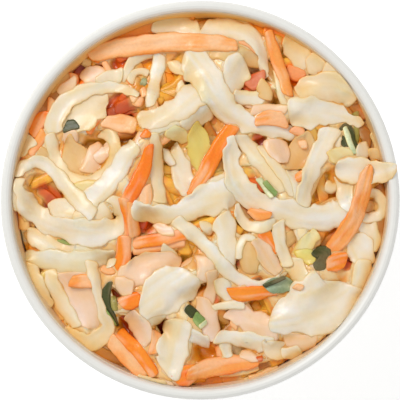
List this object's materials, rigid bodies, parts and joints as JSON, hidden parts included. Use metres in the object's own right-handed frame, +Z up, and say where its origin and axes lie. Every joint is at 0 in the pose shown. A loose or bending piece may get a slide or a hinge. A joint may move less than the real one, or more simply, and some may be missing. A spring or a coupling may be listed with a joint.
{
  "type": "cup of coleslaw",
  "caption": "Coleslaw of shredded cabbage, carrot and green herb in creamy dressing, heaped in a round white paper food cup with a rolled rim.",
  "frame": {"origin": "middle of the cup's foot, on the surface it stands on", "axes": "+Z up through the middle of the cup; +Y is the top of a view from straight above and +X its right"},
  "size_m": [0.098, 0.098, 0.0626],
  "materials": {
    "coated_paper": "white board with a satin waterproof coating",
    "dressed_cabbage": "cream-white shredded cabbage, wet with dressing",
    "dressed_carrot": "orange grated carrot, partly coated in dressing",
    "green_herb": "dark green chopped leaf and stalk, wet",
    "creamy_dressing": "glossy golden cream"
  },
  "bodies": {
    "root": {"cup": "coated_paper", "coleslaw": "dressed_cabbage"}
  },
  "joints": []
}
